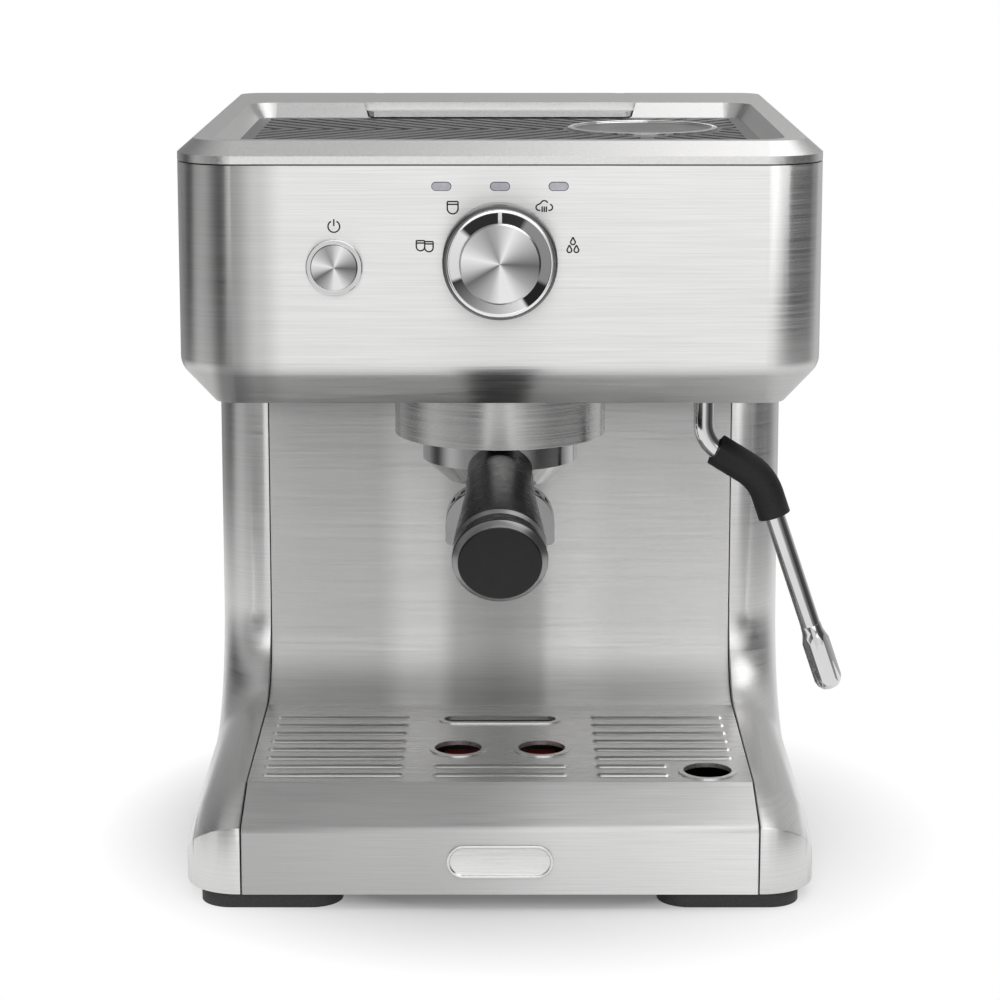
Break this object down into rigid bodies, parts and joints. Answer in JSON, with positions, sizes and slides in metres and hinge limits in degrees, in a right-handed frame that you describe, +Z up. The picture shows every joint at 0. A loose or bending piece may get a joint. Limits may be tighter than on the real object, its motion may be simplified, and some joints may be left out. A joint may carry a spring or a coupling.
{
  "type": "espresso machine",
  "caption": "Home espresso machine with a brushed steel body, twist-in filter holder, swivelling steam wand, mode dial, pull-out drip tray and lidded water tank at the back.",
  "frame": {"origin": "on the table under the middle of the machine, its filter holder and its wand", "axes": "+Z up, +Y from the front to the back, +X to the right seen from the front"},
  "size_m": [0.2982, 0.3592, 0.338],
  "materials": {
    "body_steel": "brushed",
    "splash_steel": "brushed",
    "tray_steel": "brushed",
    "grille_steel": "satin",
    "frame_silver": "satin",
    "shelf_grey": "satin",
    "group_steel": "satin",
    "chrome": "polished",
    "dial_metal": "satin",
    "spun_metal": "spun",
    "badge_metal": "satin",
    "pointer_white": "matte",
    "handle_black": "satin",
    "grip_black": "matte",
    "foot_black": "matte",
    "float_red": "gloss",
    "lens_grey": "gloss",
    "dark_plastic": "matte",
    "liner_grey": "matte",
    "tray_grey": "satin",
    "tank_clear": "clear",
    "boiler_metal": "cast",
    "pump_metal": "satin",
    "pipe_brass": "satin",
    "hose_white": "matte",
    "gasket_black": "matte",
    "screw_steel": "plain",
    "board_green": "matte"
  },
  "bodies": {
    "chassis": {"right_side_panel": "body_steel", "left_side_panel": "body_steel", "right_liner": "liner_grey", "left_liner": "liner_grey", "base_pan": "dark_plastic", "feet": "foot_black", "base_screws": "screw_steel", "backsplash": "splash_steel", "head_shell": "body_steel", "head_underplate": "dark_plastic", "top_frame": "frame_silver", "cup_grille": "shelf_grey", "rear_panel": "dark_plastic", "cord_gland": "dark_plastic", "tank_bay": "dark_plastic", "tank_socket": "tray_grey", "group_collar": "group_steel", "group_gasket": "gasket_black", "dispersion_block": "pipe_brass", "shower_screen": "screw_steel", "screen_screw": "screw_steel", "wand_socket": "chrome", "dial_switch": "tray_grey", "power_bezel": "chrome", "power_switch": "tray_grey", "control_board": "board_green", "board_posts": "dark_plastic", "indicator_lenses": "lens_grey", "boiler": "boiler_metal", "thermostat": "tray_grey", "steam_valve": "pump_metal", "steam_pipe": "pipe_brass", "pump": "pump_metal", "pump_mounts": "gasket_black", "suction_hose": "hose_white", "pressure_hose": "hose_white"},
    "mode_dial": {"dial_body": "dial_metal", "dial_cap": "spun_metal", "dial_pointer": "pointer_white"},
    "power_button": {"power_button": "spun_metal"},
    "portafilter": {"portafilter_body": "chrome", "filter_basket": "screw_steel", "portafilter_spout": "chrome", "portafilter_handle": "handle_black", "handle_end_cap": "handle_black"},
    "steam_wand": {"wand_tube": "chrome", "wand_grip": "grip_black", "wand_nozzle": "chrome"},
    "drip_tray": {"drip_tray": "tray_grey", "tray_front": "tray_steel", "front_badge": "badge_metal"},
    "drip_grille": {"drip_grille": "grille_steel"},
    "tray_float": {"tray_float": "float_red"},
    "water_tank": {"water_tank": "tank_clear", "lid_hinge_pins": "screw_steel"},
    "tank_lid": {"tank_lid": "frame_silver"},
    "tank_valve": {"tank_valve": "tray_grey"}
  },
  "joints": [
    {"name": "dial_turn", "type": "hinge", "parent": "chassis", "child": "mode_dial", "pos_m": [-0.0091, -0.10643, 0.288], "axis": [0, 1, 0], "range_deg": [-76, 76]},
    {"name": "button_press", "type": "slide", "parent": "chassis", "child": "power_button", "axis": [0, 1, 0], "range_m": [0, 0.0025], "stiffness_N_per_m": 800},
    {"name": "portafilter_twist", "type": "hinge", "parent": "chassis", "child": "portafilter", "pos_m": [-0.0091, -0.03143, 0.199], "axis": [0, 0, 1], "range_deg": [-50, 0]},
    {"name": "wand_swivel", "type": "hinge", "parent": "chassis", "child": "steam_wand", "pos_m": [0.0839, -0.03643, 0.236], "axis": [0, 0, 1], "range_deg": [-110, 40]},
    {"name": "tray_slide", "type": "slide", "parent": "chassis", "child": "drip_tray", "axis": [0, -1, 0], "range_m": [0, 0.16]},
    {"name": "grille_lift", "type": "slide", "parent": "drip_tray", "child": "drip_grille", "axis": [0, 0, 1], "range_m": [0, 0.028]},
    {"name": "float_rise", "type": "slide", "parent": "drip_tray", "child": "tray_float", "axis": [0, 0, 1], "range_m": [0, 0.004]},
    {"name": "tank_lift", "type": "slide", "parent": "chassis", "child": "water_tank", "axis": [0, 0, 1], "range_m": [0, 0.12]},
    {"name": "lid_open", "type": "hinge", "parent": "water_tank", "child": "tank_lid", "pos_m": [-0.0091, 0.17057, 0.334], "axis": [-1, 0, 0], "range_deg": [0, 90]},
    {"name": "valve_close", "type": "slide", "parent": "water_tank", "child": "tank_valve", "axis": [0, 0, 1], "range_m": [-0.003, 0]}
  ],
  "couplings": [
    {"joint": "valve_close", "follows": "tank_lift", "ratio": -0.025}
  ]
}
